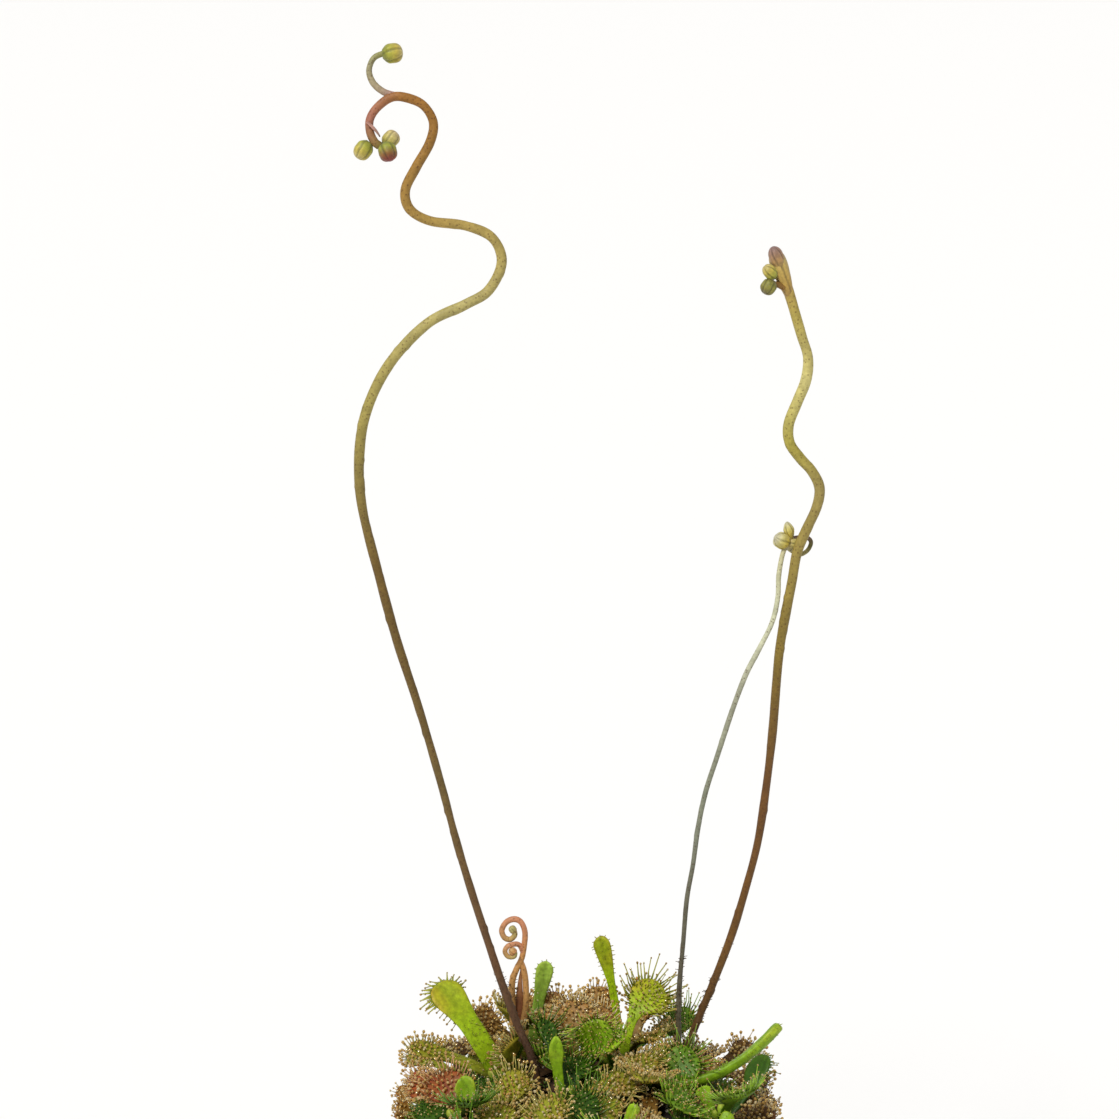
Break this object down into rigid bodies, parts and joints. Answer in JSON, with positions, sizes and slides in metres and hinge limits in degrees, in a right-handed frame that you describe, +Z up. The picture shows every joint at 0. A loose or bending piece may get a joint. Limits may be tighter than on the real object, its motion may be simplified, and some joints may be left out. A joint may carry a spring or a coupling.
{
  "type": "potted sundew",
  "caption": "Colony of spoon-leaved sundew in a small round nursery pot, with dewy rosettes of leaves and tall curling flower stalks.",
  "frame": {"origin": "middle of the pot's flat underside", "axes": "+Z up, from the underside along the height of the pot and the stalks; -Y is the side that the picture shows, and +X is its right"},
  "size_m": [0.07, 0.062, 0.2244],
  "materials": {
    "charcoal_plastic": "moulded, fine matt texture",
    "peat_and_sand": "loose, damp, rough",
    "sundew_leaf": "living leaf, satin, wet with drops",
    "olive_stalk": "living stem, satin",
    "pale_stalk": "living stem, satin",
    "orange_stalk": "young living stem, satin"
  },
  "bodies": {
    "root": {"pot": "charcoal_plastic", "growing_medium": "peat_and_sand", "rosette_left": "sundew_leaf", "rosette_mid_left": "sundew_leaf", "rosette_mid": "sundew_leaf", "rosette_back_left": "sundew_leaf", "rosette_back_right": "sundew_leaf", "rosette_centre": "sundew_leaf", "rosette_stalks": "sundew_leaf", "rosette_right": "sundew_leaf", "rosette_front_left": "sundew_leaf", "rosette_front": "sundew_leaf", "rosette_front_right": "sundew_leaf", "rosette_rear_left": "sundew_leaf", "rosette_rear_right": "sundew_leaf", "rosette_heart": "sundew_leaf", "stalk_left": "olive_stalk", "stalk_right": "olive_stalk", "stalk_thin": "pale_stalk", "stalk_young": "orange_stalk"}
  },
  "joints": []
}
